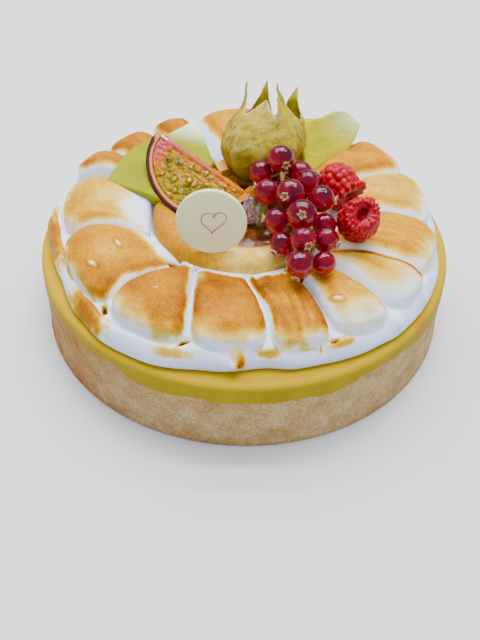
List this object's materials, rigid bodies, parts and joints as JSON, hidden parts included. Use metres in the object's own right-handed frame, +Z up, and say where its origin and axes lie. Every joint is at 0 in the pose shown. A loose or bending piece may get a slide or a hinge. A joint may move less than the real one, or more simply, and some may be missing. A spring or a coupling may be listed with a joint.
{
  "type": "mango cake",
  "caption": "Round mango cake on a biscuit crust, with toasted meringue petals round a meringue ring and a fruit garnish on top.",
  "frame": {"origin": "centre of the bottom face that the cake rests on", "axes": "+Z up, -Y towards the cake's front as served"},
  "size_m": [0.18, 0.18, 0.0899],
  "materials": {
    "biscuit": "baked biscuit, matt and sandy",
    "mango_cream": "set cream, smooth with a soft shine",
    "meringue": "piped meringue, satin",
    "toasted_meringue": "torched meringue, satin",
    "jelly": "glossy dark amber jelly",
    "white_chocolate": "cast white chocolate, satin",
    "passion_fruit_rind": "dark fruit skin, pale pith inside",
    "passion_fruit_pulp": "wet pulp with seeds",
    "husk": "dry papery husk",
    "husk_berry": "smooth waxy berry",
    "melon": "wet melon flesh",
    "pistachio": "dry kernel",
    "raspberry": "soft drupelets with a low shine",
    "redcurrant": "glassy berry skin",
    "stem": "green fruit stalk",
    "mango_flesh": "wet diced mango"
  },
  "bodies": {
    "root": {"crust": "biscuit", "mango_layer": "mango_cream", "meringue": "meringue", "mango_jelly": "jelly", "white_chocolate_coin": "white_chocolate", "meringue_ring": "toasted_meringue", "passion_fruit_rind": "passion_fruit_rind", "passion_fruit_pulp": "passion_fruit_pulp", "physalis_husk": "husk", "physalis_berry": "husk_berry", "melon_slice_left": "melon", "melon_slice_right": "melon", "raspberry_1": "raspberry", "raspberry_2": "raspberry", "pistachio_left": "pistachio", "pistachio_right": "pistachio", "mango_piece_1": "mango_flesh", "mango_piece_2": "mango_flesh", "redcurrant_1": "redcurrant", "redcurrant_2": "redcurrant", "redcurrant_3": "redcurrant", "redcurrant_4": "redcurrant", "redcurrant_5": "redcurrant", "redcurrant_6": "redcurrant", "redcurrant_7": "redcurrant", "redcurrant_8": "redcurrant", "redcurrant_9": "redcurrant", "redcurrant_10": "redcurrant", "redcurrant_11": "redcurrant", "redcurrant_12": "redcurrant", "redcurrant_13": "redcurrant", "redcurrant_14": "redcurrant", "redcurrant_15": "redcurrant", "redcurrant_16": "redcurrant", "redcurrant_17": "redcurrant", "redcurrant_18": "redcurrant", "redcurrant_stem": "stem"}
  },
  "joints": []
}
